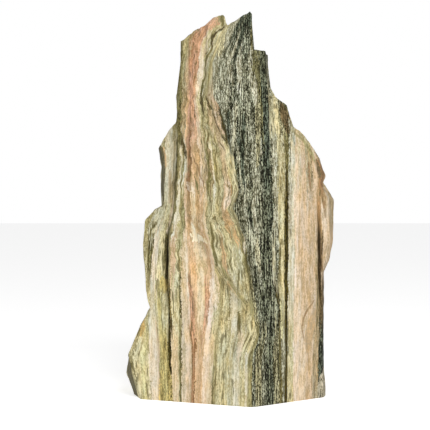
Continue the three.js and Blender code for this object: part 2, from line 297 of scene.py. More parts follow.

# Colours of the marks, of the thin dark lines and of the painted shade in the clefts
WHITE = seen(255, 243, 210, 0.1)
OCHRE = seen(206, 186, 118, 0.4)
STAIN = seen(199, 172, 112, 0.4)
UMBER = seen(150, 122, 86, 0.5)
# Dark brown of cracks, and of painted shadow in corners and under splinters
SHADOW_AND_CRACK_DARK = seen(74, 64, 40, 0.6)
SHADE = seen(98, 92, 68, 0.6)
LINE_TONE = seen(96, 88, 50)
CLEFT_SHADE_TONE = seen(50, 42, 22)

# Marks that cross the strata, as (colour, cover, and (height, across, half width) points)
MARKS = {
    "tooth side": (PEAT, 0.8, (784, -16, 3), (774, -15, 4), (765, -16, 3)),
    "tooth face": (SALMON, 0.8, (780, -26, 6), (768, -30, 8), (758, -42, 8)),
    "spike crack": (SHADOW_AND_CRACK_DARK, 0.9, (764, -9, 2), (755, -20, 3), (748, -30, 3), (738, -34, 2.5),
        (716, -37, 2)),
    "spike line": (PEAT, 0.9, (716, -38, 2), (692, -47, 2), (669, -50, 2), (643, -54, 2.5),
        (627, -57, 2.5)),
    "pale shoulder": (SAND, 0.6, (745, -14, 6), (720, -18, 7), (704, -22, 4)),
    "splinter shadow": (SHADOW_AND_CRACK_DARK, 0.8, (626, -58, 1.5), (616, -57, 3), (604, -56, 2.5), (580, -52, 1)),
    "splinter line": (SHADOW_AND_CRACK_DARK, 0.9, (620, -48, 1.5), (603, -42, 1.5), (587, -34, 1.5), (571, -28, 2),
        (554, -21, 2), (540, -14, 1.5), (526, -7, 1.5)),
    "splinter edge": (UMBER, 1.0, (627, -46, 1), (619, -36, 3), (611, -30, 2.5), (597, -22, 2),
        (588, -19, 1)),
    "splinter face": (WHEAT, 0.7, (620, -36, 2), (606, -29, 3), (594, -27, 4), (570, -22, 4),
        (545, -13, 3)),
    # Painted shadow in the notch beside the lobe's edge, with darker lines of shadow along its sides
    "notch shadow": (PEPPER, 0.9, (588, -9, 2), (572, -8, 6), (556, -7, 6), (542, -4, 5), (528, -2, 3)),
    "notch shadow left line": (BLACK, 1.0, (588, -19, 1.5), (573, -16, 2.5), (558, -12, 2.5), (542, -8, 2.5),
        (528, -6, 2)),
    "notch shadow right line": (DEEP_SLATE, 1.0, (592, -2, 2), (569, -2, 3), (552, -3, 2.5), (526, 0, 2),
        (508, 2, 1.5)),
    "olive column": (PALE_PEPPER, 0.8, (612, 12, 2), (590, 11, 5), (560, 9, 7), (530, 7, 7), (505, 6, 4)),
    "pale thread": (REED, 0.5, (606, 13, 1), (580, 13, 2), (550, 10, 2.5), (520, 6, 3), (500, 5, 2)),
    "brown column": (OLIVE_PEPPER, 0.9, (622, 58, 2), (596, 57, 5), (560, 58, 6), (520, 58, 4),
        (480, 56, 3)),
    "grey line": (KHAKI, 0.8, (704, -36, 1), (676, -41, 3), (648, -44, 3), (622, -47, 1)),
    "slate streak": (DEEP_SLATE, 0.7, (584, 30, 2), (566, 29, 4), (535, 27, 4), (500, 26, 4),
        (462, 25, 3)),
    "shoulder dusk": (BARK, 0.7, (608, 106, 3), (594, 110, 8), (576, 114, 9), (562, 118, 8),
        (548, 119, 4)),
    "shoulder yellow": (REED, 0.75, (544, 106, 2), (516, 107, 4), (475, 108, 5), (436, 108, 4),
        (415, 107, 2)),
    "shoulder specks": (FRECKLED, 0.8, (572, 123, 3), (555, 128, 5), (540, 130, 4), (525, 133, 2)),
    "spike dusk": (DARK_PEPPER, 0.7, (764, 36, 3), (735, 35, 8), (712, 32, 7), (692, 31, 3)),
    "lobe line left": (PEAT, 0.9, (556, -45, 1), (530, -43, 2), (505, -44, 1.5), (480, -42, 2.5),
        (452, -42, 2.5), (420, -41, 1)),
    "lobe line right": (PEAT, 0.7, (542, -31, 1), (520, -27, 1.5), (495, -28, 2), (465, -25, 2),
        (438, -24, 1.5), (410, -19, 1)),
    "corner shade": (SHADOW_AND_CRACK_DARK, 0.8, (558, -103, 2), (540, -98, 4), (524, -93, 5), (508, -89, 4),
        (496, -88, 2)),
    "rim shade": (PEAT, 0.9, (592, -107, 4), (572, -105, 4), (548, -102, 3), (526, -98, 2.5)),
    # Painted shade on the slab's left facet, which turns away from the light
    "slab side shade": (SHADE, 1.0, (524, -144, 3), (512, -141, 8), (480, -139, 9), (440, -141, 8),
        (398, -141, 7)),
    "slab warm edge": (HONEY, 0.8, (518, -135, 1.5), (500, -131, 2), (480, -130, 1.5)),
    "slab dusk": (TAN, 0.7, (470, -122, 2), (440, -121, 4), (405, -122, 3)),
    "rust edge": (RUST, 0.8, (520, -84, 1), (490, -81, 1.5), (460, -79, 1.5), (435, -80, 1)),
    "rust line": (UMBER, 0.8, (508, -76, 1), (488, -69, 2), (468, -60, 2), (450, -53, 2), (438, -51, 1)),
    "olive line": (PEAT, 0.7, (464, -71, 1), (446, -67, 2), (426, -63, 1.5)),
    "pale break": (PALE, 0.45, (448, -86, 4), (438, -82, 9), (426, -76, 8), (418, -74, 4)),
    # White chips along the ledge's rim: partly fresh stone, partly a painted highlight where the rim
    # catches the light
    "white chip and rim highlight": (WHITE, 1.0, (362, -73, 1.5), (354, -71, 3.5), (346, -71, 4), (338, -70, 9),
        (331, -69, 7)),
    "white chip foot and rim highlight": (WHITE, 1.0, (343, -72, 7), (336, -62, 14), (330, -54, 11)),
    "white chip line and rim highlight": (WHITE, 1.0, (340, -62, 4), (334, -56, 12), (329, -46, 8), (326, -43, 3)),
    "amber line": (HONEY, 0.7, (404, -62, 2), (380, -60, 2), (356, -53, 3), (338, -46, 2),
        (326, -43, 1.5)),
    "rust diagonal": (HONEY, 0.3, (326, -58, 2), (310, -50, 4), (292, -43, 4), (272, -36, 2.5)),
    "orange core": (RUST, 0.5, (156, -60, 2), (142, -58, 4), (124, -57, 3), (112, -56, 1)),
    "yellow thread": (YELLOW, 0.8, (206, 103, 3), (186, 103, 2), (160, 105, 2.5), (134, 106, 1.5)),
    "olive blotches": (PEAT, 0.8, (368, -37, 1.5), (348, -35, 3), (322, -31, 3), (296, -27, 3),
        (280, -25, 2)),
    "lobe streak": (KHAKI, 0.5, (372, -18, 1), (332, -8, 2), (296, 1, 2), (272, 6, 2)),
    "lobe fold": (KHAKI, 0.5, (352, 0, 1.5), (320, 12, 2.5), (296, 18, 2.5), (276, 22, 2)),
    "toe line": (PEAT, 0.8, (274, 18, 1), (262, 18, 2), (246, 17, 2), (230, 16, 1)),
    "lobe dash": (PEAT, 0.7, (298, 3, 1), (288, 3, 2), (276, 5, 1)),
    "lobe blush": (HONEY, 0.35, (398, -9, 3), (380, -5, 4), (360, 2, 4), (342, 9, 3), (326, 15, 2)),
    "lobe peach": (PEACH, 0.7, (448, -6, 4), (430, -3, 5), (410, -4, 5), (394, -8, 3)),
    "lobe toe": (SAND, 0.7, (270, 29, 2), (250, 34, 4), (230, 38, 4), (216, 40, 2)),
    "low cream": (SAND, 0.75, (184, 38, 3), (170, 42, 7), (145, 46, 8), (124, 40, 6), (108, 36, 2)),
    "low dashes left": (PEAT, 0.5, (132, -28, 1), (100, -29, 2.5), (60, -29, 2), (20, -30, 2),
        (0, -30, 2)),
    "low dashes right": (PEAT, 0.4, (150, -6, 1), (120, -7, 1.5), (70, -7, 2), (20, -8, 1.5), (0, -8, 1)),
    "black line": (BLACK, 0.9, (470, 115, 1.5), (400, 115, 3), (300, 115, 2.5), (205, 114, 2),
        (150, 114, 3), (100, 115, 2), (50, 114, 3), (0, 114, 3)),
    "left beads": (BLACK, 0.8, (210, -123, 1), (150, -122, 2.5), (75, -122, 2.5), (55, -122, 1)),
    "amber foot": (OCHRE, 0.8, (64, -123, 1), (48, -122, 5), (20, -121, 5), (0, -121, 5)),
    "thin beads": (PEAT, 0.9, (330, -102, 1), (295, -102, 2), (270, -101, 1), (235, -101, 1.5),
        (100, -100, 1.5), (0, -99, 1.5)),
    # Olive band at the lobe's foot: partly its own colour, partly painted shade on the lobe's lower bevel
    "lobe foot colour and shade": (KHAKI, 0.65, (290, -22, 2), (272, -12, 4), (256, -3, 5), (240, 7, 5), (224, 18, 4),
        (206, 31, 3)),
    "low peach": (PINK, 0.6, (162, 16, 2), (140, 22, 6), (115, 20, 7), (92, 16, 3)),
    "pale foot": (GREY, 0.8, (58, 197, 3), (42, 194, 9), (18, 191, 13), (0, 189, 15)),
    "pale swirl": (REED, 0.6, (334, 56, 2), (312, 55, 5), (290, 57, 5), (266, 60, 2)),
    "white fleck": (WHITE, 1.0, (334, 31, 1), (322, 30, 2), (308, 29, 1)),
    "dark lens": (PEAT, 0.9, (194, 16, 1), (184, 18, 3.5), (168, 19, 4), (152, 20, 1.5)),
    "under lobe": (PALE, 0.8, (278, -33, 2), (262, -29, 4), (245, -27, 6), (225, -26, 7), (205, -27, 5),
        (190, -28, 2)),
    "dark dashes": (PEAT, 0.5, (268, -14, 1), (248, -15, 1.5), (222, -17, 2), (196, -19, 1.5),
        (166, -20, 1.5)),
    "ochre patch": (OCHRE, 0.8, (256, -136, 2), (246, -134, 8), (234, -133, 9), (224, -133, 4)),
    "ochre foot": (OCHRE, 0.5, (66, -138, 3), (40, -137, 8), (20, -136, 10), (0, -136, 10)),
    "rim stain": (STAIN, 0.9, (162, -176, 2), (148, -178, 5), (134, -181, 3)),
    # Painted shade on the low left facet, which turns away from the light
    "low side shade": (SHADE, 0.75, (106, -211, 1), (89, -210, 4), (59, -208, 7), (29, -204, 7), (0, -198, 7)),
    "right rim shade": (KHAKI, 0.7, (553, 128, 2), (540, 143, 4), (525, 157, 4), (508, 167, 4),
        (490, 174, 2)),
    "bulge shade": (UMBER, 0.7, (446, 182, 2), (432, 189, 5), (411, 193, 5), (391, 195, 3),
        (375, 196, 1)),
    "nodule": (RUST, 1.0, (490, 181, 3), (470, 187, 8), (450, 192, 8), (440, 190, 4)),
    "nodule shade": (SHADE, 0.8, (492, 178, 2), (478, 182, 4), (458, 185, 3)),
    "brown line": (UMBER, 0.8, (486, 161, 2), (462, 162, 3), (436, 165, 2)),
    # Painted shade in the right crevice
    "right crevice": (UMBER, 0.8, (400, 182, 0.5), (370, 181, 1.5), (340, 183, 3), (300, 186, 4),
        (268, 188, 4)),
    # Dark crack round the chip, with painted shade on the hollow's upper rim
    "chip rim crack and shade": (UMBER, 0.7, (206, 172, 2), (188, 158, 3), (170, 150, 2), (152, 147, 2), (126, 152, 1)),
    "chip face": (HONEY, 0.6, (186, 176, 3), (168, 168, 8), (145, 163, 10), (120, 161, 8), (100, 160, 4)),
    "tip side": (PEAT, 0.8, (770, 47, 2), (745, 46, 3), (718, 46, 2)),
}


# Shape of the stone
def along(points, at):
    """Value of the line through place: value points, level beyond its ends."""
    return np.interp(at, list(points), list(points.values()))


def ramp(start, end, value):
    """0 below start, 1 past end, smooth between: 3s^2 - 2s^3 of the share s."""
    share = np.clip((value - start) / (end - start), 0.0, 1.0)
    return share * share * (3 - 2 * share)


def part_way(start, end, share):
    """What lies a share of the way from start to end."""
    return start + (end - start) * share


def scatter(a, b):
    """Repeatable value between -1 and 1 for whole numbers: the fraction of a scaled sine."""
    mixed = np.sin(a * 12.9898 + b * 78.233) * 43758.5453
    return 2 * (mixed - np.floor(mixed)) - 1


def rolling(a, b):
    """Field between -1 and 1: scattered values at whole numbers, blended smoothly between them."""
    column, row = np.floor(a), np.floor(b)
    across, up = ramp(0, 1, a - column), ramp(0, 1, b - row)
    low = part_way(scatter(column, row), scatter(column + 1, row), across)
    high = part_way(scatter(column, row + 1), scatter(column + 1, row + 1), across)
    return part_way(low, high, up)


def rolled(fields, across, up):
    """Sum of rolling fields, each stretched to its own width and length, times its reach."""
    return sum(
        reach * rolling(across / width + start, up / length) for reach, width, length, start in fields
    )


def plain_face(across, up):
    """Distance of the unbroken front: its corner depth less a rounded fall to each side."""
    from_corner = across - along(FRONT_CORNER, up)
    fall = np.where(from_corner < 0, along(LEFT_FALL, up), along(RIGHT_FALL, up))
    rounding = along(CORNER_ROUNDING, up)
    return along(FRONT_DEPTH, up) - fall * (np.hypot(from_corner, rounding) - rounding)


def groove(line, across, up, width):
    """1 on a seam, falling straight to 0 at its width."""
    return np.maximum(0, 1 - np.abs(across - along(line, up)) / width)


def front_face(across, up):
    """Distance of the broken front: the plain face, plus each seam's step, groove and swelling,
    and upright flutes."""
    def beyond(line, reach=SEAM_REACH):
        return ramp(-reach, reach, across - along(line, up))

    past_lobe, past_flank = beyond(LOBE_EDGE), beyond(FLANK)
    share = (across - along(LEDGE, up)) / (along(LOBE_EDGE, up) - along(LEDGE, up))
    depth = plain_face(across, up)
    depth = depth - along(CREVICE_STEP, up) * (1 - beyond(LEFT_CREVICE))
    depth = depth + along(LEDGE_STEP, up) * beyond(LEDGE, LEDGE_REACH) * (1 - past_lobe)
    depth = depth + along(LOBE_SWELL, up) * np.sin(np.pi * np.clip(share, 0, 1))
    depth = depth + along(LOBE_STEP, up) * (0.5 - past_lobe) * beyond(LEDGE) * (1 - past_flank)
    depth = depth - along(FLANK_STEP, up) * past_flank
    for line, deep in ((LEFT_CREVICE, LEFT_GROOVE), (RIGHT_CREVICE, RIGHT_GROOVE)):
        depth = depth - along(deep, up) * groove(line, across, up, GROOVE_WIDTH)
    return depth + rolled(FLUTES, across, up) * ramp(0, FLUTE_FADE, up)


def front_ends(up):
    """Across position of the front's left and right ends: the outline less the facets' widths."""
    left = along(LEFT_OUTLINE, up) + along(LEFT_FACET, up)
    right = along(RIGHT_OUTLINE, up) - along(RIGHT_FACET, up)
    return left, right


def front_columns(up):
    """Across position of each front column: a share of the way from one seam to the next, with
    the seams pushed apart where the outline leaves them no room."""
    left, right = front_ends(up)
    seams = [left]
    for number, (line, offset) in enumerate(FOLLOWED):
        wanted = np.maximum(left + (number + 1) * SEAM_ROOM, along(line, up) + offset)
        held = np.minimum(right - (len(FOLLOWED) - number) * SEAM_ROOM, wanted)
        seams.append(held if number == 0 else np.maximum(held, seams[-1] + LINE_GAP))
    seams = np.stack([*seams, right])
    stretch = np.repeat(np.arange(len(COLUMNS_BETWEEN)), COLUMNS_BETWEEN)
    stretch = np.append(stretch, stretch[-1])
    share = np.concatenate([np.arange(count) / count for count in COLUMNS_BETWEEN] + [[1.0]])
    column = np.arange(FRONT_COLUMNS)
    return part_way(seams[stretch, :, column].T, seams[stretch + 1, :, column].T, share)


def wall_corners(up):
    """Corners behind the front, as (across, back): the front's right end, the right side, three of
    the back, the left side and the front's left end."""
    left, right = front_ends(up)
    left_y, right_y = -front_face(left, up), -front_face(right, up)
    outer_left, outer_right = along(LEFT_OUTLINE, up), along(RIGHT_OUTLINE, up)
    back = along(BACK_DEPTH, up)
    return [
        (right, right_y),
        (outer_right, np.minimum(RIGHT_FACET_BACK, right_y + RIGHT_FACET_DEPTH)),
        (outer_right * REAR_RIGHT_SHARE[0], back * REAR_RIGHT_SHARE[1]),
        (outer_right * BACK_RIDGE_SHARE, back),
        (outer_left * REAR_LEFT_SHARE[0], back * REAR_LEFT_SHARE[1]),
        (outer_left, np.minimum(LEFT_FACET_BACK, left_y + LEFT_FACET_DEPTH)),
        (left, left_y),
    ]


def section(up):
    """Closed sections, a row for each height: the front, then each run of the wall, straight from
    corner to corner, which rolling lumps move in and out."""
    front_up = up[:, :FRONT_COLUMNS]
    front_x = front_columns(front_up)
    xs, ys = [front_x], [-front_face(front_x, front_up)]
    first = FRONT_COLUMNS
    for number, (columns, to_right, to_back) in enumerate(WALL_RUNS):
        count = min(columns, COLUMNS - first)
        at = up[:, first:first + count]
        start, end = wall_corners(at)[number:number + 2]
        share = np.arange(1, count + 1) / columns
        x, y = part_way(start[0], end[0], share), part_way(start[1], end[1], share)
        lumps = ramp(0, FLUTE_FADE, at) * sum(
            part * rolling(x / width + y / inward, at / length)
            for part, width, inward, length in SIDE_LUMPS
        )
        xs.append(x + to_right * lumps * np.sin(np.pi * share))
        ys.append(y + to_back * lumps)
        first += count
    return np.concatenate(xs, axis=1), np.concatenate(ys, axis=1)


def top_surface(across, back):
    """Height of the broken top: the ragged front edge falls to a rough level behind it."""
    start = TOP_FRONT_Y + TOP_SHELF
    behind = ramp(start, start + TOP_FALL_DEPTH, back)
    rough = BACK_TOP_HEIGHT + rolled(TOP_ROUGHNESS, across, back)
    return part_way(along(TOP_EDGE, across), rough, behind)


def stratum_number(across, up):
    """Number of the stratum at a place: 0 at the left rim, one more at each named stratum, straight
    between them. A sum of clipped shares, one for each pair of neighbours."""
    places = [along(line, up) for _, line in STRATA.values()]
    number = np.zeros_like(across)
    for low, high in zip(places[:-1], places[1:]):
        number += np.clip((across - low) / np.maximum(high - low, LEAST_STRATUM), 0, 1)
    return number


def unfolded(across, up):
    """Place across the strata with their folds laid flat, straight between the named strata."""
    flat = [place for place, _ in STRATA.values()]
    return np.interp(stratum_number(across, up), np.arange(len(flat)), flat)


def folding(across, up):
    """How folded the strata are: 1 in the raised lobe and above it, 0 outside it and lower down."""
    past_crevice = ramp(*FOLDS_START, across - along(LEFT_CREVICE, up))
    past_lobe = ramp(*FOLDS_END, across - along(LOBE_EDGE, up))
    return past_crevice * (1 - past_lobe) * ramp(*FOLDS_FOOT, up)


def crumple(across, up):
    """Small shifts of the strata: two rolling fields, stronger where the strata are folded."""
    return rolled(CRUMPLES, across, up) * (PLAIN_CRUMPLE + FOLDED_CRUMPLE * folding(across, up))


def cleft_shade_share(across, up):
    """How much painted shade darkens the clefts, from 0 to 1: the darkest of the grooves along their
    shifted seams.
    """
    return np.maximum.reduce([
        groove(line, across - along(shift, up), up, width) * along(strength, up)
        for line, shift, width, strength in CLEFT_SHADES
    ])


def marks_paint(across, up, front):
    """Colour of the marks times their cover, the cover, and their grain times the cover. Later marks
    lie over earlier ones, and each falls from its full cover to 0 over a soft edge."""
    soft, fade = 2.2, 6.0
    colour = np.zeros((*across.shape, 3))
    cover, strength = np.zeros_like(across), np.zeros_like(across)
    for tone, full, *path in MARKS.values():
        points = sorted(path)
        lowest, highest = points[0][0], points[-1][0]
        centre = along({height: place for height, place, _ in points}, up)
        half = along({height: width for height, _, width in points}, up)
        inside = np.clip((half - np.abs(across - centre)) / soft + 0.5, 0, 1)
        ends = ramp(lowest - fade, lowest, up) * (1 - ramp(highest, highest + fade, up))
        share = full * inside * ends * front
        colour = part_way(colour, np.array(tone[:3]), share[..., None])
        strength, cover = part_way(strength, tone[3], share), part_way(cover, 1, share)
    return colour, cover, strength


def closed_grid(points):
    """Faces of a grid that is closed both ways: each cell joins to the next column and row."""
    rows, columns = points.shape[:2]
    index = np.arange(rows * columns).reshape(rows, columns)
    right, above = np.roll(index, -1, axis=1), np.roll(index, -1, axis=0)
    corner = np.roll(right, -1, axis=0)
    return np.stack([index, right, corner, above], axis=-1).reshape(-1, 4)


def grid_normals(points):
    """Outward direction at each grid point: the cross product of its row and column slopes."""
    along_row = np.roll(points, -1, axis=1) - np.roll(points, 1, axis=1)
    along_column = np.roll(points, -1, axis=0) - np.roll(points, 1, axis=0)
    normal = np.cross(along_row, along_column)
    return normal / np.maximum(np.linalg.norm(normal, axis=-1, keepdims=True), 1e-9)


def fine_relief(strata, depth, up, folded):
    """Splintered grain that follows the strata: three rolling fields, each finer and shorter, and
    rounder lumps where the strata are folded."""
    splinters = sum(
        reach * rolling(strata / width + start, up / length + depth / inward)
        for reach, width, start, length, inward in SPLINTERS
    )
    return splinters + folded * rolled(FOLD_LUMPS, strata, up)


def shares(rows):
    """Even shares of the way up to 1, a row for each."""
    return np.linspace(0, 1, rows + 1)[1:, None]


def rings(x, y, up):
    """Points of one or more rings, from places that are spread to the same shape."""
    return np.stack(np.broadcast_arrays(x, y, up), axis=-1)


def stone_points():
    """The stone as one grid closed both ways: rings up the wall and the broken rim, in to the bore,
    down it and out over the sawn base. Also the number of rings outside."""
    up = np.repeat(np.linspace(0, LEVEL_ROWS_END, LEVEL_ROWS)[:, None], COLUMNS, axis=1)
    x, y = section(up)
    wall = rings(x, y, up)

    in_front = np.arange(COLUMNS) < FRONT_COLUMNS
    top_y = np.where(in_front, TOP_FRONT_Y, np.maximum(TOP_FRONT_Y, y[-1]))
    rim_up = part_way(LEVEL_ROWS_END, top_surface(x[-1], top_y), shares(RIM_ROWS))
    _, rim_y = section(np.minimum(rim_up, FRONT_LEAN_END))
    rim = rings(x[-1], rim_y, rim_up)

    edge_x, edge_y = x[-1], rim_y[-1]
    angle = np.arctan2(edge_y - BORE_Y, edge_x - BORE_X)
    mouth_x = BORE_X + BORE_RADIUS * np.cos(angle)
    mouth_y = BORE_Y + BORE_RADIUS * np.sin(angle)
    cap_x = part_way(edge_x, mouth_x, shares(CAP_ROWS))
    cap_y = part_way(edge_y, mouth_y, shares(CAP_ROWS))
    cap = rings(cap_x, cap_y, top_surface(cap_x, cap_y))

    bore = rings(mouth_x, mouth_y, top_surface(mouth_x, mouth_y) * (1 - shares(BORE_ROWS)))
    outward = shares(FOOT_ROWS)[:-1]
    base = rings(part_way(mouth_x, x[0], outward), part_way(mouth_y, y[0], outward), 0.0)
    return np.concatenate([wall, rim, cap, bore, base]), len(wall) + len(rim)


def new_object(name, data):
    """A new object in the scene."""
    made = bpy.data.objects.new(name, data)
    bpy.context.scene.collection.objects.link(made)
    return made


def build_stone():
    """The stone's mesh: its points moved along their normals by the fine relief, and the values
    that its material reads."""
    points, outside_rings = stone_points()
    x, y, up = points[..., 0], points[..., 1], points[..., 2]
    behind = y + plain_face(np.clip(x, -FACE_REACH, FACE_REACH), up)
    shifted = x + crumple(x, up)
    strata = unfolded(shifted + np.maximum(behind - SLANT_DEPTH, 0) * SIDE_SLANT, up)
    folded = folding(x, up) * (behind < FRONT_ZONE)
    # Painted shade of the clefts, which the material reads
    cleft_shade = cleft_shade_share(x, up) * (behind < FRONT_ZONE)
    lift = ramp(*LIFTED_DEPTHS, behind) * rolled(MARK_LIFTS, y, up)
    frayed = behind + ramp(*FRAYED_DEPTHS, behind) * rolled(MARK_FRAYS, up, y)
    paint, cover, marks_grain = marks_paint(shifted, up + lift, 1 - ramp(*MARKED_DEPTHS, frayed))

    outside = np.arange(len(points))[:, None] < outside_rings
    relief = fine_relief(strata, y, up, folded) * outside * ramp(0, GRAIN_FADE, up)
    placed = (points + grid_normals(points) * relief[..., None] + CENTRING) * MM
    placed[..., 2] = np.maximum(placed[..., 2], 0)

    mesh = bpy.data.meshes.new("stone_surface")
    mesh.from_pydata(placed.reshape(-1, 3).tolist(), [], closed_grid(placed).tolist())
    values_of = {
        "strata": strata * MM, "lift": lift * MM, "cleft_shade": cleft_shade, "folded": folded,
        "marks_grain": marks_grain,
    }
    for name, values in values_of.items():
        attribute = mesh.attributes.new(name, "FLOAT", "POINT")
        attribute.data.foreach_set("value", values.reshape(-1).astype(np.float32))
    marks = np.concatenate([paint, cover[..., None]], axis=-1)
    attribute = mesh.attributes.new("marks", "FLOAT_COLOR", "POINT")
    attribute.data.foreach_set("color", marks.reshape(-1).astype(np.float32))
    mesh.polygons.foreach_set("use_smooth", np.ones(len(mesh.polygons), dtype=bool))
    mesh.validate()
    mesh.update()
    return new_object("stone_surface", mesh)


# Material of the marble: grain drawn out along the strata, as (waves per metre, share of them
# upwards, detail)
STRATA_GRAIN = {
    "broad": (120, 0.08, 2), "streak": (520, 0.02, 1), "dash": (360, 0.11, 2),
    "thread": (430, 0.09, 0), "cluster": (150, 0.07, 1), "mottle": (130, 0.45, 2),
    "vein": (105, 0.06, 3), "break": (70, 0.5, 1), "warmth": (100, 0.2, 2),
}
# The same for grain that runs straight up, and crystals as (per metre, share of them upwards)
STRAIGHT_GRAIN = {"fine dash": (720, 0.22, 0), "fine streak": (580, 0.04, 0)}
CRYSTALS = {"crystal": (640, 0.5), "fine crystal": (1150, 0.3)}
INWARD_SHARE, NOISE_ROUGHNESS, GRAIN_SPREAD = 0.5, 0.6, 7.0

# What the grain of pale and of dark strata is made of, and how far it moves the strata's edges,
# in metres; the mottle of folded strata; and how far pale grain leans, and from which value on
PLAIN_GRAIN = {"streak": 0.5, "dash": 0.6, "broad": 0.25, "crystal": 0.9}
PEPPER_GRAIN = {"fine streak": 0.75, "fine dash": 0.55, "broad": 0.1, "fine crystal": 1.4}
EDGE_WANDER = {"dash": 0.8 * MM, "crystal": 0.9 * MM, "broad": 0.8 * MM}
STREAK_LIFT = 28 * MM
FOLD_MOTTLE = 0.5
LEAN, LEVEL_GRAIN = 0.4, 0.45

# Grain strengths between which a stratum turns creamy, and peppered
CREAM_STRENGTHS, PEPPER_STRENGTHS = (0.28, 0.36), (0.56, 0.78)
# Heights between which the grain grows calmer, in metres, and by which share
CALM_HEIGHTS, CALM_SHARE = (0.6, 0.7), 0.2

# Dark lines: field values at which they begin and are full, the veins' strength, and the cover
VEIN_EDGES, VEIN_BREAKS = (0.16, 0.02), (-0.2, 0.5)
THREAD_EDGES, THREAD_CLUSTERS = (-0.4, -0.9), (-0.4, 0.4)
PLAIN_VEIN, FOLDED_VEIN = 0.4, 0.5
LINE_COVER = 0.75
# Values of the painted cleft shade at which it begins and is full
CLEFT_SHADE_EDGES = (0.0, 0.9)

# Ragged edges of the marks, and how warm and cool places change each part of a colour
MARK_EDGES, MARK_RAGGEDNESS, LEAST_COVER = (0.3, 0.7), 0.5, 0.01
WARMTH = {"Red": 0.05, "Green": 0.0, "Blue": -0.09}
PEPPER_WARMTH_LOSS = 0.7
# How the grain changes each part of a colour, as (share of its strength, extra strength)
TINT_PARTS = {"Red": (1.0, 0.0), "Green": (1.0, 0.03), "Blue": (1.1, 0.12)}
BUMP = {"Strength": 0.6, "Distance": 0.0015}
SURFACE = {"Roughness": 0.7, "Specular IOR Level": 0.15}


def node(tree, kind, values=None, **settings):
    """A new node, with its settings, and its inputs linked or set."""
    made = tree.nodes.new(kind)
    for name, value in settings.items():
        setattr(made, name, value)
    for name, value in (values or {}).items():
        if isinstance(value, bpy.types.NodeSocket):
            tree.links.new(value, made.inputs[name])
        else:
            made.inputs[name].default_value = value
    return made


def maths(tree, operation, first, second=0.0, third=0.0):
    """The output of a Math node of up to three values."""
    return node(tree, "ShaderNodeMath", {0: first, 1: second, 2: third}, operation=operation).outputs[0]


def scaled(tree, value, factor, extra=0.0):
    """A value times a factor, plus an extra."""
    return maths(tree, "MULTIPLY_ADD", value, factor, extra)


def between(tree, value, low, high):
    """0 at low, 1 at high, smooth between."""
    values = {"Value": value, "From Min": low, "From Max": high}
    return node(tree, "ShaderNodeMapRange", values, interpolation_type="SMOOTHSTEP").outputs["Result"]


def mix(tree, factor, first, second, blend_type="MIX"):
    """Two colours mixed by a factor."""
    values = {0: factor, 6: first, 7: second}
    return node(tree, "ShaderNodeMix", values, data_type="RGBA", blend_type=blend_type).outputs[2]


def blend(tree, factor, first, second):
    """Two values mixed by a factor."""
    return node(tree, "ShaderNodeMix", {0: factor, 2: first, 3: second}, data_type="FLOAT").outputs[0]


def weighted(tree, fields, weights, start=0.0):
    """Sum of named fields, each times its weight, on top of a start value."""
    total = start
    for name, weight in weights.items():
        total = scaled(tree, fields[name], weight, total)
    return total


def from_mesh(tree, name):
    """A value that the mesh carries."""
    return node(tree, "ShaderNodeAttribute", attribute_name=name).outputs["Fac"]


def object_place(tree):
    """Across, back and up position on the object."""
    place = node(tree, "ShaderNodeTexCoord").outputs["Object"]
    split = node(tree, "ShaderNodeSeparateXYZ", {"Vector": place})
    return split.outputs["X"], split.outputs["Y"], split.outputs["Z"]


def drawn_out(tree, across, back, up):
    """Place at which a field is read, from its parts."""
    return node(tree, "ShaderNodeCombineXYZ", {"X": across, "Y": back, "Z": up}).outputs[0]


def grain_fields(tree, strata):
    """The grain fields by name, spread to about -1 and 1: noise that follows the strata or runs
    straight up, and crystals, which are random cells. Their upright scale is a share of their
    cross scale, which draws them out."""
    across, back, up = object_place(tree)
    inward = scaled(tree, back, INWARD_SHARE)
    fields = {}
    for cross, kinds in ((strata, STRATA_GRAIN), (across, STRAIGHT_GRAIN)):
        for name, (per_metre, upwards, detail) in kinds.items():
            place = drawn_out(tree, cross, inward, scaled(tree, up, upwards))
            values = {"Vector": place, "Scale": per_metre, "Detail": detail, "Roughness": NOISE_ROUGHNESS}
            noise = node(tree, "ShaderNodeTexNoise", values).outputs[0]
            fields[name] = scaled(tree, noise, GRAIN_SPREAD, -GRAIN_SPREAD / 2)
    for name, (per_metre, upwards) in CRYSTALS.items():
        place = drawn_out(tree, across, back, scaled(tree, up, upwards))
        cells = node(tree, "ShaderNodeTexVoronoi", {"Vector": place, "Scale": per_metre})
        first = node(tree, "ShaderNodeSeparateColor", {"Color": cells.outputs["Color"]}).outputs[0]
        fields[name] = scaled(tree, first, 2.0, -1.0)
    return fields


def grain_tint(tree, value, strength):
    """Multiplier of a colour for a grain value: e to the power of value times strength, where
    green and blue move a little more, so that dark grain is olive and light grain is cream."""
    return node(tree, "ShaderNodeCombineColor", {
        name: maths(tree, "EXPONENT", scaled(tree, value, scaled(tree, strength, share, extra)))
        for name, (share, extra) in TINT_PARTS.items()
    }).outputs[0]


def strata_at(tree, share, height):
    """Colour and grain strength of the strata at one height: stepped colour ramps over the share
    of the unfolded width, each ramp to the right of the one before."""
    across = np.array(list(STRATA_AT[height]), dtype=float)
    places = (unfolded(across, np.full(len(across), float(height))) - UNFOLDED_LEFT) / UNFOLDED_WIDTH
    stops = list(zip(places.tolist(), STRATA_AT[height].values()))
    colour = strength = None
    for first in range(0, len(stops), MOST_STOPS):
        made = node(tree, "ShaderNodeValToRGB", {"Fac": share})
        made.color_ramp.interpolation = "CONSTANT"
        elements = made.color_ramp.elements
        elements.remove(elements[1])
        elements[0].position, elements[0].color = 0.0, stops[first][1]
        for place, tone in stops[first + 1:first + MOST_STOPS]:
            elements.new(place).color = tone
        if first == 0:
            colour, strength = made.outputs["Color"], made.outputs["Alpha"]
        else:
            beyond = maths(tree, "GREATER_THAN", share, stops[first][0])
            colour = mix(tree, beyond, colour, made.outputs["Color"])
            strength = blend(tree, beyond, strength, made.outputs["Alpha"])
    return colour, strength


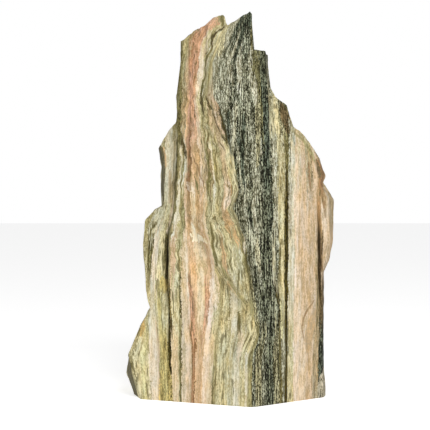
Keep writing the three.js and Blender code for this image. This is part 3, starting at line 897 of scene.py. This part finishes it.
def strata_colour(tree, fields, strata, up):
    """Colour and grain strength of the strata at every height: their edges wander with the grain,
    and the strata of one height give way to the next height's in streaks."""
    wander = weighted(tree, fields, EDGE_WANDER, strata)
    from_left = maths(tree, "SUBTRACT", wander, UNFOLDED_LEFT * MM)
    share = maths(tree, "DIVIDE", from_left, UNFOLDED_WIDTH * MM)
    lifted = maths(tree, "ADD", up, from_mesh(tree, "lift"))
    uneven = scaled(tree, fields["streak"], STREAK_LIFT, lifted)
    heights = sorted(STRATA_AT)
    colour, strength = strata_at(tree, share, heights[0])
    for low, high in zip(heights[:-1], heights[1:]):
        next_colour, next_strength = strata_at(tree, share, high)
        middle, reach = (low + high) / 2 * MM, (high - low) / 4 * MM
        higher = between(tree, uneven, middle - reach, middle + reach)
        colour = mix(tree, higher, colour, next_colour)
        strength = blend(tree, higher, strength, next_strength)
    return colour, strength


def grain_value(tree, fields, peppered, folded):
    """The grain, streaked in pale strata and peppered in dark ones, and rounded off by a
    hyperbolic tangent. In pale strata its middle leans to the light and its ends to the dark."""
    plain = weighted(tree, fields, PLAIN_GRAIN)
    mottle = scaled(tree, fields["mottle"], folded)
    plain = scaled(tree, mottle, FOLD_MOTTLE, plain)
    value = maths(tree, "TANH", blend(tree, peppered, plain, weighted(tree, fields, PEPPER_GRAIN)))
    lean = scaled(tree, peppered, -LEAN, LEAN)
    away = maths(tree, "SUBTRACT", maths(tree, "ABSOLUTE", value), LEVEL_GRAIN)
    return maths(tree, "SUBTRACT", value, scaled(tree, away, lean))


def dark_lines(tree, fields, strength, peppered, folded):
    """Cover of the broken veins and the clustered threads, which only creamy strata show."""
    vein = between(tree, maths(tree, "ABSOLUTE", fields["vein"]), *VEIN_EDGES)
    vein = scaled(tree, vein, between(tree, fields["break"], *VEIN_BREAKS))
    vein = scaled(tree, vein, scaled(tree, folded, FOLDED_VEIN, PLAIN_VEIN))
    thread = between(tree, fields["thread"], *THREAD_EDGES)
    thread = scaled(tree, thread, between(tree, fields["cluster"], *THREAD_CLUSTERS))
    creamy = maths(tree, "SUBTRACT", between(tree, strength, *CREAM_STRENGTHS), peppered)
    lines = scaled(tree, maths(tree, "MAXIMUM", vein, thread), creamy)
    return scaled(tree, lines, LINE_COVER)


def with_marks(tree, colour, strength, value):
    """Colour and grain strength with the marks over them, whose edges the grain makes ragged."""
    marks = node(tree, "ShaderNodeAttribute", attribute_name="marks")
    cover = marks.outputs["Alpha"]
    whole = maths(tree, "DIVIDE", 1.0, maths(tree, "MAXIMUM", cover, LEAST_COVER))
    painted = {0: marks.outputs["Color"], "Scale": whole}
    tone = node(tree, "ShaderNodeVectorMath", painted, operation="SCALE").outputs[0]
    uneven = scaled(tree, cover, scaled(tree, value, MARK_RAGGEDNESS, 1.0))
    ragged = between(tree, uneven, *MARK_EDGES)
    marks_strength = scaled(tree, from_mesh(tree, "marks_grain"), whole)
    return mix(tree, ragged, colour, tone), blend(tree, ragged, strength, marks_strength)


def marble():
    """Banded marble: the strata's colours, marks, grain, dark lines, painted shade in the clefts, and
    bump.
    """
    material = bpy.data.materials.new("banded_marble")
    material.use_nodes = True
    tree = material.node_tree
    tree.nodes.clear()
    strata, folded = from_mesh(tree, "strata"), from_mesh(tree, "folded")
    _, _, up = object_place(tree)
    fields = grain_fields(tree, strata)
    colour, strength = strata_colour(tree, fields, strata, up)
    peppered = between(tree, strength, *PEPPER_STRENGTHS)
    calmed = scaled(tree, between(tree, up, *CALM_HEIGHTS), -CALM_SHARE, 1.0)
    strength = scaled(tree, strength, calmed)
    value = grain_value(tree, fields, peppered, folded)
    lines = dark_lines(tree, fields, strength, peppered, folded)
    colour, strength = with_marks(tree, colour, strength, value)

    colour = mix(tree, 1.0, colour, grain_tint(tree, value, strength), "MULTIPLY")
    left_warm = scaled(tree, peppered, -PEPPER_WARMTH_LOSS, 1.0)
    warmth = scaled(tree, fields["warmth"], left_warm)
    parts = {name: scaled(tree, warmth, share, 1.0) for name, share in WARMTH.items()}
    warmed = node(tree, "ShaderNodeCombineColor", parts).outputs[0]
    colour = mix(tree, 1.0, colour, warmed, "MULTIPLY")
    colour = mix(tree, lines, colour, LINE_TONE)
    # Painted shade: the clefts darkened towards the cleft tone
    colour = mix(tree, between(tree, from_mesh(tree, "cleft_shade"), *CLEFT_SHADE_EDGES), colour, CLEFT_SHADE_TONE)

    bump = node(tree, "ShaderNodeBump", {"Height": value, **BUMP}).outputs["Normal"]
    shader = node(tree, "ShaderNodeBsdfPrincipled", {"Base Color": colour, "Normal": bump, **SURFACE})
    node(tree, "ShaderNodeOutputMaterial", {"Surface": shader.outputs[0]})
    return material


# Setting: floor, light and camera
WHITE_LIGHT = (1, 1, 1, 1)
FLOOR_REACH = 12.0
FLOOR_COLOUR, FLOOR_ROUGHNESS = (0.85, 0.85, 0.85, 1.0), 0.9
FLOOR_LIGHT, SEEN_FLOOR_LIGHT = 0.4, 0.65
ROOM_LIGHT, SEEN_ROOM_LIGHT = 0.3, 1.0
# Lights, as (place and size in metres, power in watts)
LIGHTS = {"key_light": ((0.8, -2.6, 2.4), 1.2, 60), "fill_light": ((-1.2, -2.8, 0.9), 2.0, 15)}
LIGHT_TARGET = (0.0, 0.0, 0.4)
# The camera's place in the stone's own millimetres, and the photograph's focal length, size and
# horizon in pixels
CAMERA_PLACE = (-29.3, -2600, 440)
FOCAL_PIXELS, PICTURE_PIXELS, HORIZON_ROW = 1242.0, 430.0, 185.8
SENSOR_WIDTH = 36.0


def light_strength(tree, otherwise, when_seen):
    """A light's strength: one value where the camera sees it, another for the light it gives."""
    is_seen = node(tree, "ShaderNodeLightPath").outputs["Is Camera Ray"]
    return scaled(tree, is_seen, when_seen - otherwise, otherwise)


def build_floor():
    """A wide level sheet under the stone, matt and pale, that glows a little."""
    corners = [(x * FLOOR_REACH, y * FLOOR_REACH, 0) for x, y in ((-1, -1), (1, -1), (1, 1), (-1, 1))]
    mesh = bpy.data.meshes.new("floor")
    mesh.from_pydata(corners, [], [(0, 1, 2, 3)])
    material = bpy.data.materials.new("pale_floor")
    material.use_nodes = True
    tree = material.node_tree
    shader = tree.nodes["Principled BSDF"]
    values = {"Base Color": FLOOR_COLOUR, "Roughness": FLOOR_ROUGHNESS, "Emission Color": WHITE_LIGHT}
    for name, value in values.items():
        shader.inputs[name].default_value = value
    glow = light_strength(tree, FLOOR_LIGHT, SEEN_FLOOR_LIGHT)
    tree.links.new(glow, shader.inputs["Emission Strength"])
    mesh.materials.append(material)
    floor = new_object("floor", mesh)


def build_lights():
    """White surroundings that light the stone weakly, and soft lights turned to its middle."""
    scene = bpy.context.scene
    world = bpy.data.worlds.new("white_room")
    scene.world = world
    world.use_nodes = True
    background = world.node_tree.nodes["Background"]
    background.inputs["Color"].default_value = WHITE_LIGHT
    strength = light_strength(world.node_tree, ROOM_LIGHT, SEEN_ROOM_LIGHT)
    world.node_tree.links.new(strength, background.inputs["Strength"])
    scene.view_settings.view_transform = "Standard"
    for name, (place, size, power) in LIGHTS.items():
        data = bpy.data.lights.new(name, "AREA")
        data.size, data.energy = size, power
        light = new_object(name, data)
        light.location = place
        aim = np.array(LIGHT_TARGET) - np.array(place)
        tilt = math.acos(-aim[2] / np.linalg.norm(aim))
        light.rotation_euler = (tilt, 0, math.atan2(aim[1], aim[0]) - math.pi / 2)


def build_camera():
    """The photograph's view: level with the stone's middle, looking down a little."""
    data = bpy.data.cameras.new("camera")
    data.sensor_width = SENSOR_WIDTH
    data.lens = FOCAL_PIXELS * SENSOR_WIDTH / PICTURE_PIXELS
    camera = new_object("camera", data)
    camera.location = (np.array(CAMERA_PLACE) + CENTRING) * MM
    down = math.atan((PICTURE_PIXELS / 2 - HORIZON_ROW) / FOCAL_PIXELS)
    camera.rotation_euler = (math.pi / 2 - down, 0, 0)
    bpy.context.scene.camera = camera


build_camera()
build_lights()
build_floor()
stone = build_stone()
stone.data.materials.append(marble())
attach(stone, "root")
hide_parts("stone")
